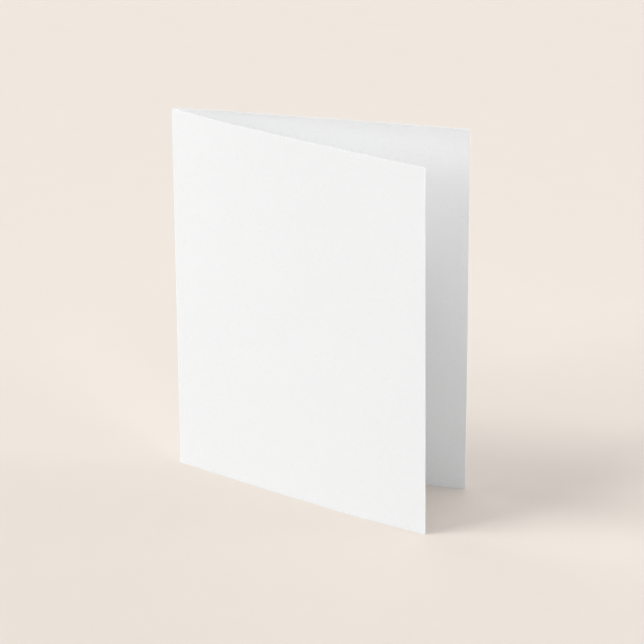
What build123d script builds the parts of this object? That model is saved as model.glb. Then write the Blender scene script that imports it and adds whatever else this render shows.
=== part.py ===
from build123d import *

import os
from math import cos, radians, sin

# A blank note card: one sheet of card stock, creased once down its middle and stood partly
# open on its bottom edge. Sizes are in millimetres and degrees. +Z runs up the fold, +X from
# the fold to the open side, and the cover is the panel on the -Y side.

# The sheet: two equal panels with square, guillotined corners. The width is that of the card
# when it is folded shut, from the back of the fold to the free edges.
card_width = 107.95
card_height = 139.7
sheet_thickness = 0.40

# The crease: the sheet bends round a small inside radius, and the scoring rule has raised a
# bead of pressed fibre inside the bend, which joins both panels a little way from its centre
crease_inside_radius = 0.13
bead_root = 0.45
bead_height = 0.18

# The stance: the angle between the panels, how far each panel turns inwards again on its way
# from the fold to its free edge, and how much further the cover has opened at its top
opening_angle = 20.9
cover_curl = 6.2
back_curl = 2.7
cover_twist = 1.2

# How much of its curl a panel turns in the half that is next to the fold, as a share. The bend
# in the cover slants: it is beside the fold at the top and beside the free edge at the bottom.
cover_bend_near_fold_top = 0.95
cover_bend_near_fold_bottom = 0.12
back_bend_near_fold = 0.85

crease_outside_radius = crease_inside_radius + sheet_thickness
panel_run = card_width - crease_outside_radius
half_run = panel_run / 2
COVER, BACK = -1, 1


def panel_heading(side, swing, curl, near_share):
    """The direction in which a panel leaves the crease, seen from above.

    The swing is the angle from +X to the straight line across the panel. The panel starts wide
    of that line, by its mean turn over both halves, so that it bows outwards and ends on it.
    """
    near_mean = curl * near_share / 2
    far_mean = curl * (1 + near_share) / 2
    return side * (swing + (near_mean + far_mean) / 2)


def panel_face(side, swing, curl, near_share, offset):
    """One face of a panel, seen from above: its arc next to the crease and its arc beyond.

    The offset is how far the face lies outside the centre of the crease. Both faces of an arc
    turn about one centre of curvature, so the sheet keeps its thickness. A share above 1 or
    below 0 bends one of the two arcs the other way.
    """
    heading = panel_heading(side, swing, curl, near_share)
    outwards = radians(heading + side * 90)
    start = (offset * cos(outwards), offset * sin(outwards))
    along = (cos(radians(heading)), sin(radians(heading)))
    from_middle = offset - crease_inside_radius - sheet_thickness / 2
    near_curl = curl * near_share
    far_curl = curl - near_curl
    near_radius = abs(half_run / radians(near_curl) + from_middle)
    far_radius = abs(half_run / radians(far_curl) + from_middle)
    near = JernArc(start, along, near_radius, -side * near_curl)
    far = JernArc(near @ 1, near % 1, far_radius, -side * far_curl)
    return near, far


def crease_bead(cover_inside, back_inside, direction):
    """The rounded bead across the inside of the bend, from one panel to the other."""
    tip = (cover_inside @ 0 + back_inside @ 0) / 2
    tip += Vector(cos(radians(direction)), sin(radians(direction))) * bead_height
    return ThreePointArc(back_inside @ 0, tip, cover_inside @ 0)


def card_section(height, cover, back):
    """The cut across the whole sheet at one height: cover, crease and back panel.

    Each panel is given by its side, swing, curl and share of the curl in the near half.
    """
    cover_outside, cover_outside_far = panel_face(*cover, crease_outside_radius)
    back_outside, back_outside_far = panel_face(*back, crease_outside_radius)
    spine = ThreePointArc(cover_outside @ 0, (-crease_outside_radius, 0), back_outside @ 0)

    cover_inside, cover_inside_far = panel_face(*cover, crease_inside_radius)
    back_inside, back_inside_far = panel_face(*back, crease_inside_radius)
    cover_inside = cover_inside.trim(bead_root / half_run, 1)
    back_inside = back_inside.trim(bead_root / half_run, 1)
    between = (panel_heading(*cover) + panel_heading(*back)) / 2
    bead = crease_bead(cover_inside, back_inside, between)

    cover_edge = Line(cover_outside_far @ 1, cover_inside_far @ 1)
    back_edge = Line(back_outside_far @ 1, back_inside_far @ 1)
    outer_line = [cover_edge, cover_outside_far, cover_outside, spine]
    outer_line += [back_outside, back_outside_far, back_edge]
    inner_line = [back_inside_far, back_inside, bead, cover_inside, cover_inside_far]
    return Plane.XY.offset(height) * Face(Wire(outer_line + inner_line))


def folded_card():
    """The sheet as it stands, ruled straight up from its bottom edge to its top edge."""
    swing = opening_angle / 2
    back = (BACK, swing, back_curl, back_bend_near_fold)
    cover_foot = (COVER, swing, cover_curl, cover_bend_near_fold_bottom)
    cover_head = (COVER, swing + cover_twist, cover_curl, cover_bend_near_fold_top)
    bottom = card_section(0, cover_foot, back)
    top = card_section(card_height, cover_head, back)
    sheet = loft([bottom, top], ruled=True)
    middle = sheet.bounding_box().center()
    return Pos(-middle.X, -middle.Y, 0) * sheet


card = folded_card()
card.label = "card"

os.makedirs("parts", exist_ok=True)
export_step(card, "parts/card.step")
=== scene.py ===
"""A blank greeting card of plain white card stock, creased once and standing partly open.

Everything is in metres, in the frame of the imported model: +Z runs up the fold, +X from the fold
to the open side, and the cover is the panel on the -Y side. The card is one folded sheet, so it
is one piece, made as a flat sheet with softened cut edges and then bent along its crease.
"""

import bmesh
import bpy
import numpy as np
from mathutils import Matrix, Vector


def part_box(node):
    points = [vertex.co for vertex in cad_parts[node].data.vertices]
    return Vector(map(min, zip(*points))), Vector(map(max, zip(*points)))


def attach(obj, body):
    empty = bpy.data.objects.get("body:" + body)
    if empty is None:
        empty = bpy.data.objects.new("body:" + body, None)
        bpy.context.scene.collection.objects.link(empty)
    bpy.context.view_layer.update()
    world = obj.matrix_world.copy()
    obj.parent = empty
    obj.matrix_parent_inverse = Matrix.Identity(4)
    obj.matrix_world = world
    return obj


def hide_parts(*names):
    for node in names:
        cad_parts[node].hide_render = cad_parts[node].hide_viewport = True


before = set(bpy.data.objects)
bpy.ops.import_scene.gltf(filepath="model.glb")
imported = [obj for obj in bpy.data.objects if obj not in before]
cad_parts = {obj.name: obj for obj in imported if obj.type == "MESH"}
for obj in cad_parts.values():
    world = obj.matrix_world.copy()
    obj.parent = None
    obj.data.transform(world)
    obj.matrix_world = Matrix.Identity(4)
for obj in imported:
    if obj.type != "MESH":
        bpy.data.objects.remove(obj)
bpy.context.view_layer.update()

MM = 0.001

# The sheet, with the part's own values
CARD_WIDTH = 107.95 * MM
CARD_HEIGHT = 139.7 * MM
SHEET_THICKNESS = 0.40 * MM

# The crease: its inside radius, and the bead of pressed fibre along the inside of the bend
CREASE_INSIDE_RADIUS = 0.13 * MM
BEAD_ROOT = 0.45 * MM
BEAD_HEIGHT = 0.18 * MM

# The stance, in degrees: between the panels, each panel's curl, and the cover's twist
OPENING_ANGLE = 20.9
COVER_CURL = 6.2
BACK_CURL = 2.7
COVER_TWIST = 1.2

# The share of its curl that a panel turns in the half next to the fold. The cover's bend slants
# from beside the fold at the top to beside the free edge at the bottom.
COVER_BEND_NEAR_FOLD_TOP = 0.95
COVER_BEND_NEAR_FOLD_BOTTOM = 0.12
BACK_BEND_NEAR_FOLD = 0.85

HALF_THICKNESS = SHEET_THICKNESS / 2
CREASE_MIDDLE_RADIUS = CREASE_INSIDE_RADIUS + HALF_THICKNESS
PANEL_RUN = CARD_WIDTH - CREASE_INSIDE_RADIUS - SHEET_THICKNESS
HALF_RUN = PANEL_RUN / 2
COVER, BACK = -1, 1

# The flat sheet's coordinates: along it from the crease's centre line, across its thickness
# with the outside positive, and up it. The crease's zone ends at the bead's roots.
CREASE_ZONE = BEAD_ROOT + CREASE_MIDDLE_RADIUS * np.pi / 2
SHEET_END = CREASE_ZONE + PANEL_RUN - BEAD_ROOT

# The cut edges: the blade leaves them square, and the fibres round them over very slightly
EDGE_SOFTENING = 0.05 * MM
EDGE_SUPPORT = 0.07 * MM
EDGE_STEPS = 3

# The mesh: steps along each panel, round the crease, up the sheet and across a cut edge
PANEL_STEPS = 84
CREASE_STEPS = 40
HEIGHT_STEPS = 88
CUT_STEPS = 4

# Points of the sheet's parts nearer to each other than this are one point
WELD = 0.001 * MM

# The card stock: its white, how far light travels in it, and the white of its cut edges
PAPER_WHITE = (0.897, 0.90, 0.903)
LIGHT_REACH = 0.12 * MM
CUT_WHITE = (0.85, 0.855, 0.86)

# The stock's patterns, in waves per metre of the flat sheet. Those that are drawn out have one
# number for each way: along the sheet, up it and across its thickness.
PULP_CLOUDS = 240.0
FELT_MARKS = 620.0
FLECKS = 950.0
FIBRES_UPWARDS = (3600.0, 700.0, 3600.0)
FIBRES_ALONG = (800.0, 3200.0, 3200.0)
CREASE_CRACKS = (9000.0, 420.0, 9000.0)
CUT_LAYERS = (500.0, 500.0, 14000.0)

# How far each pattern lightens the broad sides, and what they all do on the cut edges
CLOUD_SHADE = 0.012
MARK_SHADE = 0.025
FLECK_SHADE = -0.03
CRACK_SHADE = 0.12
CUT_SHADE = 0.12

# How high the patterns stand, on the broad sides and on the cut edges
FACE_FELT, FACE_FIBRES = 0.014 * MM, 0.006 * MM
CUT_FELT, CUT_FIBRES = 0.006 * MM, 0.008 * MM
CRACK_HEIGHT = 0.040 * MM
LAYER_HEIGHT = 0.018 * MM

# How rough each surface is, and how much rougher its patterns make it
FACE_ROUGHNESS, MARK_ROUGHENING, CREASE_ROUGHENING = 0.82, 0.16, 0.06
CUT_ROUGHNESS, LAYER_ROUGHENING = 0.9, 0.2

# The crease's wear is full as far as the first distance from its line, and gone at the second
WEAR_FULL, WEAR_GONE = 0.3 * MM, 1.1 * MM

# The tabletop: its colour, the greyer light that it throws back on the card, half its side, and
# its unevenness in tone, in waves per metre and as a share of its colour
FLOOR_COLOUR = (0.85, 0.78, 0.715)
FLOOR_BOUNCE = (0.79, 0.78, 0.77)
FLOOR_REACH = 6.0
FLOOR_CLOUDS = 60.0
FLOOR_SHADE = 0.02
FLOOR_GRAIN = 900.0
FLOOR_ROUGHNESS, GRAIN_ROUGHENING = 0.85, 0.1

# The world past the tabletop's edge, in the tone that the tabletop has under these lamps
BACKDROP_COLOUR = (0.885, 0.81, 0.74)

# Soft boxes of even white, out of the camera's sight. Headings are degrees seen from above, from
# +X towards +Y, and a rise is degrees above the table. Each fills these degrees of width and
# height, seen from the card. A glow of 1 is as bright as white paper in full light. They stand so
# far away that the whole tabletop is lit alike.
LAMP_DISTANCE = 100.0
SOFT_BOXES = {
    "key": {"heading": 216, "rise": 21, "width": 46, "height": 20, "glow": 6.5},
    "high key": {"heading": 218, "rise": 54, "width": 18, "height": 11, "glow": 12.4},
    "fill": {"heading": 283, "rise": 48, "width": 45, "height": 18, "glow": 3.1},
    "side": {"heading": 6, "rise": 10, "width": 44, "height": 16, "glow": 8.5},
    "rear": {"heading": 58, "rise": 38, "width": 75, "height": 16, "glow": 3.55},
    "back": {"heading": 133, "rise": 27, "width": 60, "height": 30, "glow": 2.15},
}

# The camera, from the fit of the card's edges and corners
LENS = 177.2
CAMERA_PLACE = np.array([421.4, -955.8, 513.5]) * MM
CAMERA_AZIMUTH = 23.53
CAMERA_ELEVATION = 23.19
CAMERA_ROLL = -0.29


def unit(angle):
    """The unit vectors at these angles from +X, seen from above."""
    return np.stack([np.cos(angle), np.sin(angle)], -1)


def leaving(panel):
    """The outward direction at a panel's root, as an angle from +X seen from above.

    A panel is its side, its swing, its curl and the share of the curl in its near half. It
    leaves the crease wide of its swing by the mean of its turn, which is curl x (1 + 2 x share)
    / 4, so that it ends on the line of its swing.
    """
    side, swing, curl, near_share = panel
    return side * (np.radians(swing + curl * (1 + 2 * near_share) / 4) + np.pi / 2)


def panel_point(panel, along, offset):
    """Points of a panel, seen from above.

    The panel's middle line is two arcs of equal run, one after the other, that turn inwards by
    their parts of the curl, each of radius run / turn. A point lies on its arc's radius at the
    arc's own radius plus the offset outwards.
    """
    side, swing, curl, near_share = panel
    near_curl = np.radians(curl * near_share)
    far_curl = np.radians(curl) - near_curl
    near_radius, far_radius = HALF_RUN / near_curl, HALF_RUN / far_curl
    root = leaving(panel)
    joint = root - side * near_curl
    near_centre = (CREASE_MIDDLE_RADIUS - near_radius) * unit(root)
    far_centre = near_centre + (near_radius - far_radius) * unit(joint)
    near_turned = root - side * near_curl * along / HALF_RUN
    far_turned = joint - side * far_curl * (along / HALF_RUN - 1)
    near = near_centre + (near_radius + offset)[..., None] * unit(near_turned)
    far = far_centre + (far_radius + offset)[..., None] * unit(far_turned)
    return np.where((along < HALF_RUN)[..., None], near, far)


def crease_outside(tau, cover, back):
    """The outside of the crease, from the cover's root at tau -1 to the back's at tau 1.

    By arc length: the cover's own face, the half-round spine about the crease's centre, and
    the back panel's face.
    """
    radius = CREASE_INSIDE_RADIUS + SHEET_THICKNESS
    cover_out, back_out = leaving(cover), leaving(back)
    spine_turn = cover_out + 2 * np.pi - back_out
    spine = radius * spine_turn
    run = (tau + 1) / 2 * (spine + 2 * BEAD_ROOT)
    face = np.full_like(tau, HALF_THICKNESS)
    cover_part = panel_point(cover, BEAD_ROOT - run, face)
    spine_angle = cover_out - np.clip((run - BEAD_ROOT) / spine, 0, 1) * spine_turn
    spine_part = radius * unit(spine_angle)
    back_part = panel_point(back, run - BEAD_ROOT - spine, face)
    on_cover = (run < BEAD_ROOT)[..., None]
    on_back = (run > BEAD_ROOT + spine)[..., None]
    return np.where(on_cover, cover_part, np.where(on_back, back_part, spine_part))


def crease_inside(tau, cover, back):
    """The bead inside the crease: the arc over the chord between its roots.

    The arc's half angle a has cos a = 1 - height / radius, and a point at tau stands at angle
    tau x a from the arc's middle.
    """
    root = np.full_like(tau, BEAD_ROOT)
    face = np.full_like(tau, -HALF_THICKNESS)
    cover_root = panel_point(cover, root, face)
    back_root = panel_point(back, root, face)
    middle = (cover_root + back_root) / 2
    half_chord = (back_root - cover_root) / 2
    half = np.linalg.norm(half_chord, axis=-1, keepdims=True)
    across = half_chord / half
    forwards = np.stack([across[..., 1], -across[..., 0]], -1)
    radius = (half**2 + BEAD_HEIGHT**2) / (2 * BEAD_HEIGHT)
    half_angle = np.arccos(1 - BEAD_HEIGHT / radius)
    angle = tau[..., None] * half_angle
    rise = radius * (np.cos(angle) - np.cos(half_angle))
    return middle + across * radius * np.sin(angle) + forwards * rise


def section_point(along, across, cover, back):
    """The folded sheet's section, seen from above, for flat-sheet coordinates.

    Beyond the crease's zone a point is on its panel. Within it, a point divides the line from
    the inside of the crease to its outside as it divides the sheet's thickness.
    """
    past_zone = np.abs(along) - CREASE_ZONE + BEAD_ROOT
    cover_part = panel_point(cover, past_zone, across)
    back_part = panel_point(back, past_zone, across)
    tau = np.clip(along / CREASE_ZONE, -1, 1)
    outside = crease_outside(tau, cover, back)
    inside = crease_inside(tau, cover, back)
    share = (across / SHEET_THICKNESS)[..., None]
    crease_part = (outside + inside) / 2 + share * (outside - inside)
    on_cover = (along < -CREASE_ZONE)[..., None]
    on_back = (along > CREASE_ZONE)[..., None]
    return np.where(on_cover, cover_part, np.where(on_back, back_part, crease_part))


def folded_point(flat):
    """The sheet as it stands: ruled straight from its bottom section to its top section."""
    along, height, across = flat[..., 0], flat[..., 1], flat[..., 2]
    swing = OPENING_ANGLE / 2
    back = (BACK, swing, BACK_CURL, BACK_BEND_NEAR_FOLD)
    cover_foot = (COVER, swing, COVER_CURL, COVER_BEND_NEAR_FOLD_BOTTOM)
    cover_head = (COVER, swing + COVER_TWIST, COVER_CURL, COVER_BEND_NEAR_FOLD_TOP)
    bottom = section_point(along, across, cover_foot, back)
    top = section_point(along, across, cover_head, back)
    share = (height / CARD_HEIGHT)[..., None]
    plan = bottom * (1 - share) + top * share
    return np.concatenate([plan, height[..., None]], -1)


def stations():
    """How the profile is carried along the sheet: its place and its softening at each station.

    At both ends the softening closes as a quarter round: place = end - r + r sin a and
    softening = r cos a, for a from 0 to a right angle.
    """
    r = EDGE_SOFTENING
    turn = np.linspace(0, np.pi / 2, EDGE_STEPS + 1)
    end_place = SHEET_END - r + r * np.sin(turn)
    end_round = r * np.cos(turn)
    panel = np.linspace(CREASE_ZONE, SHEET_END - r - EDGE_SUPPORT, PANEL_STEPS + 1)
    crease = np.linspace(-CREASE_ZONE, CREASE_ZONE, CREASE_STEPS + 1)[1:-1]
    half_place = np.concatenate([panel, end_place])
    half_round = np.concatenate([np.full(panel.size, r), end_round])
    place = np.concatenate([-half_place[::-1], crease, half_place])
    softening = np.concatenate([half_round[::-1], np.full(crease.size, r), half_round])
    return place, softening


def profile():
    """The profile across the sheet, as a core rectangle's points and outward directions.

    A point of the profile is core + softening x direction, which rounds the four long corners.
    Returns the core's across and up, the direction's across and up, and which points bound the
    sheet's two broad faces.
    """
    r = EDGE_SOFTENING
    half = HALF_THICKNESS - r
    inner_rise = np.linspace(r + EDGE_SUPPORT, CARD_HEIGHT - r - EDGE_SUPPORT, HEIGHT_STEPS + 1)
    rise = np.concatenate([[r], inner_rise, [CARD_HEIGHT - r]])
    cut = np.linspace(half, -half, CUT_STEPS + 1)
    turn = np.linspace(0, np.pi / 2, EDGE_STEPS + 1)[1:-1]
    runs = [
        (half, rise, np.zeros(rise.size), True),
        (half, CARD_HEIGHT - r, turn, False),
        (cut, CARD_HEIGHT - r, np.full(cut.size, np.pi / 2), False),
        (-half, CARD_HEIGHT - r, turn + np.pi / 2, False),
        (-half, rise[::-1], np.full(rise.size, np.pi), True),
        (-half, r, turn + np.pi, False),
        (-cut, r, np.full(cut.size, 1.5 * np.pi), False),
        (half, r, turn + 1.5 * np.pi, False),
    ]
    across = np.concatenate([np.broadcast_to(a, t.size) for a, u, t, broad in runs])
    up = np.concatenate([np.broadcast_to(u, t.size) for a, u, t, broad in runs])
    angle = np.concatenate([t for a, u, t, broad in runs])
    broad = np.concatenate([np.full(t.size, b) for a, u, t, b in runs])
    return across, up, np.cos(angle), np.sin(angle), broad, rise, cut


def grid_faces(first, columns, rows, closed):
    """The quads of a grid whose vertices are numbered column by column from the first."""
    row_steps = rows if closed else rows - 1
    column, row = np.meshgrid(np.arange(columns - 1), np.arange(row_steps), indexing="ij")
    next_row = (row + 1) % rows
    corners = [column * rows + row, (column + 1) * rows + row]
    corners += [(column + 1) * rows + next_row, column * rows + next_row]
    return first + np.stack(corners, -1).reshape(-1, 4)


def card_sheet(name, materials):
    """The whole sheet: a closed skin with its profile carried along it, and its two end cuts.

    Faces of the broad sides take the first material, and those of the cut edges the second.
    """
    place, softening = stations()
    core_across, core_up, out_across, out_up, broad, rise, cut = profile()
    shape = (place.size, core_across.size)
    along = np.broadcast_to(place[:, None], shape)
    across = core_across + softening[:, None] * out_across
    up = core_up + softening[:, None] * out_up
    skin = np.stack([along, up, across], -1).reshape(-1, 3)
    skin_faces = grid_faces(0, *shape, closed=True)

    full_round = softening > EDGE_SOFTENING * 0.999
    on_panels = (full_round[:-1] & full_round[1:])[:, None]
    is_broad = (broad & np.roll(broad, -1) & on_panels).ravel()

    parts = [skin]
    faces = [skin_faces]
    count = len(skin)
    for end in (-SHEET_END, SHEET_END):
        cap_up, cap_across = np.meshgrid(rise, cut, indexing="ij")
        cap = np.stack([np.full(cap_up.shape, end), cap_up, cap_across], -1).reshape(-1, 3)
        parts.append(cap)
        faces.append(grid_faces(count, rise.size, cut.size, closed=False))
        count += len(cap)
    flat = np.concatenate(parts)
    quads = np.concatenate(faces)
    is_cut = np.ones(len(quads), np.int32)
    is_cut[: is_broad.size] = ~is_broad

    raw = folded_point(flat)
    low, high = (np.array(corner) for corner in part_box("card"))
    raw[:, :2] += (low + high)[:2] / 2 - (raw[:, :2].min(0) + raw[:, :2].max(0)) / 2
    raw[:, 2] += low[2]

    mesh = bpy.data.meshes.new(name)
    mesh.from_pydata(raw, [], quads)
    for material in materials:
        mesh.materials.append(material)
    mesh.polygons.foreach_set("material_index", is_cut)
    mesh.polygons.foreach_set("use_smooth", np.ones(len(quads), bool))
    mesh.attributes.new("flat", "FLOAT_VECTOR", "POINT")
    mesh.attributes["flat"].data.foreach_set("vector", flat.astype(np.float32).ravel())

    welded = bmesh.new()
    welded.from_mesh(mesh)
    bmesh.ops.remove_doubles(welded, verts=welded.verts, dist=WELD)
    bmesh.ops.recalc_face_normals(welded, faces=welded.faces)
    welded.to_mesh(mesh)
    welded.free()
    piece = bpy.data.objects.new(name, mesh)
    bpy.context.scene.collection.objects.link(piece)
    return piece


# Materials. Patterns are read in flat-sheet metres, so they follow the sheet round its crease.


def add(tree, kind, **settings):
    """A node of this kind, with its properties set."""
    node = tree.nodes.new("ShaderNode" + kind)
    for key, value in settings.items():
        setattr(node, key, value)
    return node


def feed(tree, node, **inputs):
    """Sets a node's inputs by name: a socket is joined, and a plain value is written."""
    for key, value in inputs.items():
        socket = node.inputs[key.replace("_", " ")]
        if isinstance(value, bpy.types.NodeSocket):
            tree.links.new(value, socket)
        else:
            socket.default_value = value
    return node


def maths(tree, operation, *values):
    """A Math node over one to three values or sockets."""
    node = add(tree, "Math", operation=operation)
    for socket, value in zip(node.inputs, values):
        if isinstance(value, bpy.types.NodeSocket):
            tree.links.new(value, socket)
        else:
            socket.default_value = value
    return node.outputs[0]


def stretched(tree, vector, scale):
    """The vector with each of its parts multiplied."""
    node = add(tree, "VectorMath", operation="MULTIPLY")
    tree.links.new(vector, node.inputs[0])
    node.inputs[1].default_value = scale
    return node.outputs[0]


def noise(tree, vector, scale=1.0, detail=2.0, roughness=0.5):
    """Noise between about 0 and 1."""
    node = add(tree, "TexNoise", noise_dimensions="3D")
    feed(tree, node, Vector=vector, Scale=scale, Detail=detail, Roughness=roughness)
    return node.outputs["Fac"]


def about_zero(tree, value):
    """The value less a half, so that noise lies evenly about 0."""
    return maths(tree, "SUBTRACT", value, 0.5)


def ramp(tree, value, low, high, start, end):
    """The value carried smoothly from low..high to start..end."""
    node = add(tree, "MapRange", interpolation_type="SMOOTHSTEP")
    feed(tree, node, Value=value, From_Min=low, From_Max=high, To_Min=start, To_Max=end)
    return node.outputs["Result"]


def paper_fibre_group():
    """The look of pressed pulp: clouds in the sheet, felt marks, single fibres and flecks.

    Takes a place in metres on the flat sheet, and the felt's and the fibres' heights in metres.
    Gives the clouds and the marks as values about 0, the flecks from 0 to 1 and the height.
    """
    tree = bpy.data.node_groups.new("paper fibres", "ShaderNodeTree")
    face = tree.interface
    face.new_socket("Place", in_out="INPUT", socket_type="NodeSocketVector")
    face.new_socket("Felt Height", in_out="INPUT", socket_type="NodeSocketFloat")
    face.new_socket("Fibre Height", in_out="INPUT", socket_type="NodeSocketFloat")
    face.new_socket("Clouds", in_out="OUTPUT", socket_type="NodeSocketFloat")
    face.new_socket("Marks", in_out="OUTPUT", socket_type="NodeSocketFloat")
    face.new_socket("Flecks", in_out="OUTPUT", socket_type="NodeSocketFloat")
    face.new_socket("Height", in_out="OUTPUT", socket_type="NodeSocketFloat")
    inside = tree.nodes.new("NodeGroupInput")
    outside = tree.nodes.new("NodeGroupOutput")
    place = inside.outputs["Place"]

    clouds = about_zero(tree, noise(tree, place, PULP_CLOUDS, detail=3.0, roughness=0.55))
    felt = about_zero(tree, noise(tree, place, FELT_MARKS, detail=2.0, roughness=0.5))
    upwards = noise(tree, stretched(tree, place, FIBRES_UPWARDS), detail=2.0, roughness=0.6)
    sideways = noise(tree, stretched(tree, place, FIBRES_ALONG), detail=2.0, roughness=0.6)
    fibres = about_zero(tree, maths(tree, "MAXIMUM", upwards, sideways))
    marks = maths(tree, "MULTIPLY_ADD", fibres, 0.5, felt)
    specks = noise(tree, place, FLECKS, detail=2.0, roughness=0.5)
    flecks = ramp(tree, specks, low=0.60, high=0.70, start=0.0, end=1.0)

    felt_height = maths(tree, "MULTIPLY", felt, inside.outputs["Felt Height"])
    fibre_height = maths(tree, "MULTIPLY", fibres, inside.outputs["Fibre Height"])
    height = maths(tree, "ADD", felt_height, fibre_height)
    tree.links.new(clouds, outside.inputs["Clouds"])
    tree.links.new(marks, outside.inputs["Marks"])
    tree.links.new(flecks, outside.inputs["Flecks"])
    tree.links.new(height, outside.inputs["Height"])
    return tree


def paper_base(name, fibres, felt_height, fibre_height):
    """A material with the flat place and the fibre group already in it."""
    material = bpy.data.materials.new(name)
    material.use_nodes = True
    tree = material.node_tree
    shader = tree.nodes["Principled BSDF"]
    place = add(tree, "Attribute", attribute_name="flat").outputs["Vector"]
    group = add(tree, "Group", node_tree=fibres)
    feed(tree, group, Place=place, Felt_Height=felt_height, Fibre_Height=fibre_height)
    shader.inputs["Specular IOR Level"].default_value = 0.35
    shader.inputs["Diffuse Roughness"].default_value = 0.3
    shader.inputs["Subsurface Weight"].default_value = 1.0
    shader.inputs["Subsurface Radius"].default_value = (1.0, 1.0, 1.0)
    shader.inputs["Subsurface Scale"].default_value = LIGHT_REACH
    return material, tree, shader, place, group


def tinted(tree, colour, value, depth):
    """The colour made lighter and darker by depth times the value."""
    level = maths(tree, "MULTIPLY_ADD", value, depth, 1.0)
    node = add(tree, "VectorMath", operation="SCALE")
    node.inputs[0].default_value = colour
    tree.links.new(level, node.inputs["Scale"])
    return node.outputs[0]


def card_face_stock(fibres):
    """The smooth, dead-matt broad sides, with the roughened line of the crease."""
    base = paper_base("white card stock", fibres, FACE_FELT, FACE_FIBRES)
    material, tree, shader, place, group = base
    split = add(tree, "SeparateXYZ")
    tree.links.new(place, split.inputs[0])
    from_crease = maths(tree, "ABSOLUTE", split.outputs["X"])
    crease = ramp(tree, from_crease, low=WEAR_FULL, high=WEAR_GONE, start=1.0, end=0.0)
    drawn_out = stretched(tree, place, CREASE_CRACKS)
    broken = about_zero(tree, noise(tree, drawn_out, detail=3.0, roughness=0.65))
    cracks = maths(tree, "MULTIPLY", broken, crease)

    clouds = maths(tree, "MULTIPLY", group.outputs["Clouds"], CLOUD_SHADE)
    marks = maths(tree, "MULTIPLY_ADD", group.outputs["Marks"], MARK_SHADE, clouds)
    flecks = maths(tree, "MULTIPLY_ADD", group.outputs["Flecks"], FLECK_SHADE, marks)
    shade = maths(tree, "MULTIPLY_ADD", cracks, CRACK_SHADE, flecks)
    tree.links.new(tinted(tree, PAPER_WHITE, shade, 1.0), shader.inputs["Base Color"])
    worn = maths(tree, "MULTIPLY_ADD", crease, CREASE_ROUGHENING, FACE_ROUGHNESS)
    rough = maths(tree, "MULTIPLY_ADD", group.outputs["Marks"], MARK_ROUGHENING, worn)
    tree.links.new(rough, shader.inputs["Roughness"])
    height = maths(tree, "MULTIPLY_ADD", cracks, CRACK_HEIGHT, group.outputs["Height"])
    bump = feed(tree, add(tree, "Bump"), Height=height, Strength=1.0, Distance=1.0)
    tree.links.new(bump.outputs["Normal"], shader.inputs["Normal"])
    return material


def cut_edge_stock(fibres):
    """The guillotined edges: the sheet's layers show as fine lines along them."""
    base = paper_base("cut card edge", fibres, CUT_FELT, CUT_FIBRES)
    material, tree, shader, place, group = base
    drawn_out = stretched(tree, place, CUT_LAYERS)
    layers = about_zero(tree, noise(tree, drawn_out, detail=3.0, roughness=0.6))
    marks = maths(tree, "MULTIPLY_ADD", layers, 0.5, group.outputs["Marks"])
    tree.links.new(tinted(tree, CUT_WHITE, marks, CUT_SHADE), shader.inputs["Base Color"])
    rough = maths(tree, "MULTIPLY_ADD", layers, LAYER_ROUGHENING, CUT_ROUGHNESS)
    tree.links.new(rough, shader.inputs["Roughness"])
    height = maths(tree, "MULTIPLY_ADD", layers, LAYER_HEIGHT, group.outputs["Height"])
    bump = feed(tree, add(tree, "Bump"), Height=height, Strength=1.0, Distance=1.0)
    tree.links.new(bump.outputs["Normal"], shader.inputs["Normal"])
    return material


def floor_surface():
    """A matt tabletop in warm off-white, faintly uneven in tone."""
    material = bpy.data.materials.new("matt tabletop")
    material.use_nodes = True
    tree = material.node_tree
    shader = tree.nodes["Principled BSDF"]
    place = add(tree, "TexCoord").outputs["Object"]
    clouds = about_zero(tree, noise(tree, place, FLOOR_CLOUDS, detail=4.0, roughness=0.6))
    seen = add(tree, "LightPath").outputs["Is Camera Ray"]

    # The sockets of a Mix node for vectors: 4 and 5 take the two values, and output 1 gives one
    either = add(tree, "Mix", data_type="VECTOR")
    tree.links.new(seen, either.inputs["Factor"])
    either.inputs[4].default_value = FLOOR_BOUNCE
    tree.links.new(tinted(tree, FLOOR_COLOUR, clouds, FLOOR_SHADE), either.inputs[5])
    tree.links.new(either.outputs[1], shader.inputs["Base Color"])

    grain = noise(tree, place, FLOOR_GRAIN, detail=3.0, roughness=0.6)
    rough = maths(tree, "MULTIPLY_ADD", grain, GRAIN_ROUGHENING, FLOOR_ROUGHNESS)
    tree.links.new(rough, shader.inputs["Roughness"])
    shader.inputs["Specular IOR Level"].default_value = 0.1
    return material


def floor_plane():
    """A square grid of points round the card, level with its bottom edge."""
    reach = np.linspace(-FLOOR_REACH, FLOOR_REACH, 9)
    x, y = np.meshgrid(reach, reach, indexing="ij")
    points = np.stack([x, y, np.zeros_like(x)], -1).reshape(-1, 3)
    mesh = bpy.data.meshes.new("floor")
    mesh.from_pydata(points, [], grid_faces(0, reach.size, reach.size, closed=False))
    mesh.materials.append(floor_surface())
    piece = bpy.data.objects.new("floor", mesh)
    bpy.context.scene.collection.objects.link(piece)
    return piece


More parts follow.
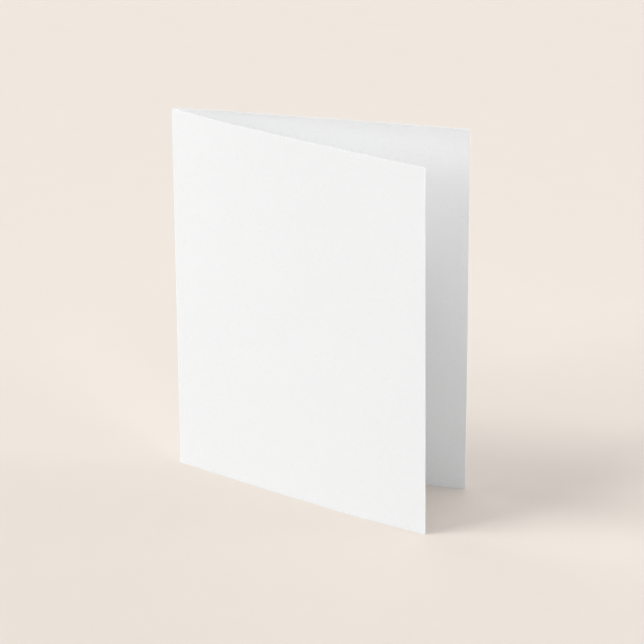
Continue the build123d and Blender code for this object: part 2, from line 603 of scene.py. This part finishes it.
def soft_box(name, heading, rise, width, height, glow):
    """A rectangular lamp that faces the card's middle.

    Each side is 2 x distance x tan(half its angle), and even glow over its area takes
    pi x area x glow watts.
    """
    rise = np.radians(rise)
    turn = np.radians(heading)
    towards = np.array([np.cos(turn) * np.cos(rise), np.sin(turn) * np.cos(rise), np.sin(rise)])
    lamp = bpy.data.lights.new(name, "AREA")
    lamp.shape = "RECTANGLE"
    lamp.size = 2 * LAMP_DISTANCE * np.tan(np.radians(width) / 2)
    lamp.size_y = 2 * LAMP_DISTANCE * np.tan(np.radians(height) / 2)
    lamp.energy = np.pi * lamp.size * lamp.size_y * glow
    box = bpy.data.objects.new(name, lamp)
    box.location = np.array([0.0, 0.0, CARD_HEIGHT / 2]) + LAMP_DISTANCE * towards
    box.rotation_euler = (np.pi / 2 - rise, 0.0, turn + np.pi / 2)
    box.visible_camera = False
    box.visible_glossy = False
    bpy.context.scene.collection.objects.link(box)


def surroundings():
    """A world that gives no light, and is seen in the tabletop's tone past its edge."""
    world = bpy.data.worlds.new("studio")
    bpy.context.scene.world = world
    world.use_nodes = True
    tree = world.node_tree
    backdrop = tree.nodes["Background"]
    backdrop.inputs["Color"].default_value = (*BACKDROP_COLOUR, 1.0)
    rays = add(tree, "LightPath").outputs
    mirrored = maths(tree, "MAXIMUM", rays["Is Glossy Ray"], rays["Is Transmission Ray"])
    seen = maths(tree, "MAXIMUM", rays["Is Camera Ray"], mirrored)
    tree.links.new(seen, backdrop.inputs["Strength"])


def place_camera():
    """The photo's camera, turned by its azimuth, elevation and roll."""
    azimuth, elevation = np.radians(CAMERA_AZIMUTH), np.radians(CAMERA_ELEVATION)
    roll = np.radians(CAMERA_ROLL)
    level = np.cos(elevation)
    back = np.array([np.sin(azimuth) * level, -np.cos(azimuth) * level, np.sin(elevation)])
    right = np.array([np.cos(azimuth), np.sin(azimuth), 0.0])
    upward = np.cross(back, right)
    pose = np.eye(4)
    pose[:3, 0] = np.cos(roll) * right + np.sin(roll) * upward
    pose[:3, 1] = np.cos(roll) * upward - np.sin(roll) * right
    pose[:3, 2] = back
    pose[:3, 3] = CAMERA_PLACE

    lens = bpy.data.cameras.new("camera")
    lens.lens = LENS
    lens.sensor_width = 36.0
    lens.clip_start = 0.05
    lens.clip_end = 30.0
    camera = bpy.data.objects.new("camera", lens)
    camera.matrix_world = Matrix(pose.tolist())
    bpy.context.scene.collection.objects.link(camera)
    bpy.context.scene.camera = camera


fibres = paper_fibre_group()
card = card_sheet("folded_card", [card_face_stock(fibres), cut_edge_stock(fibres)])
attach(card, "root")
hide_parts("card")

floor = floor_plane()

for box_name, values in SOFT_BOXES.items():
    soft_box(box_name + " soft box", **values)
surroundings()
place_camera()
bpy.context.scene.view_settings.view_transform = "Standard"
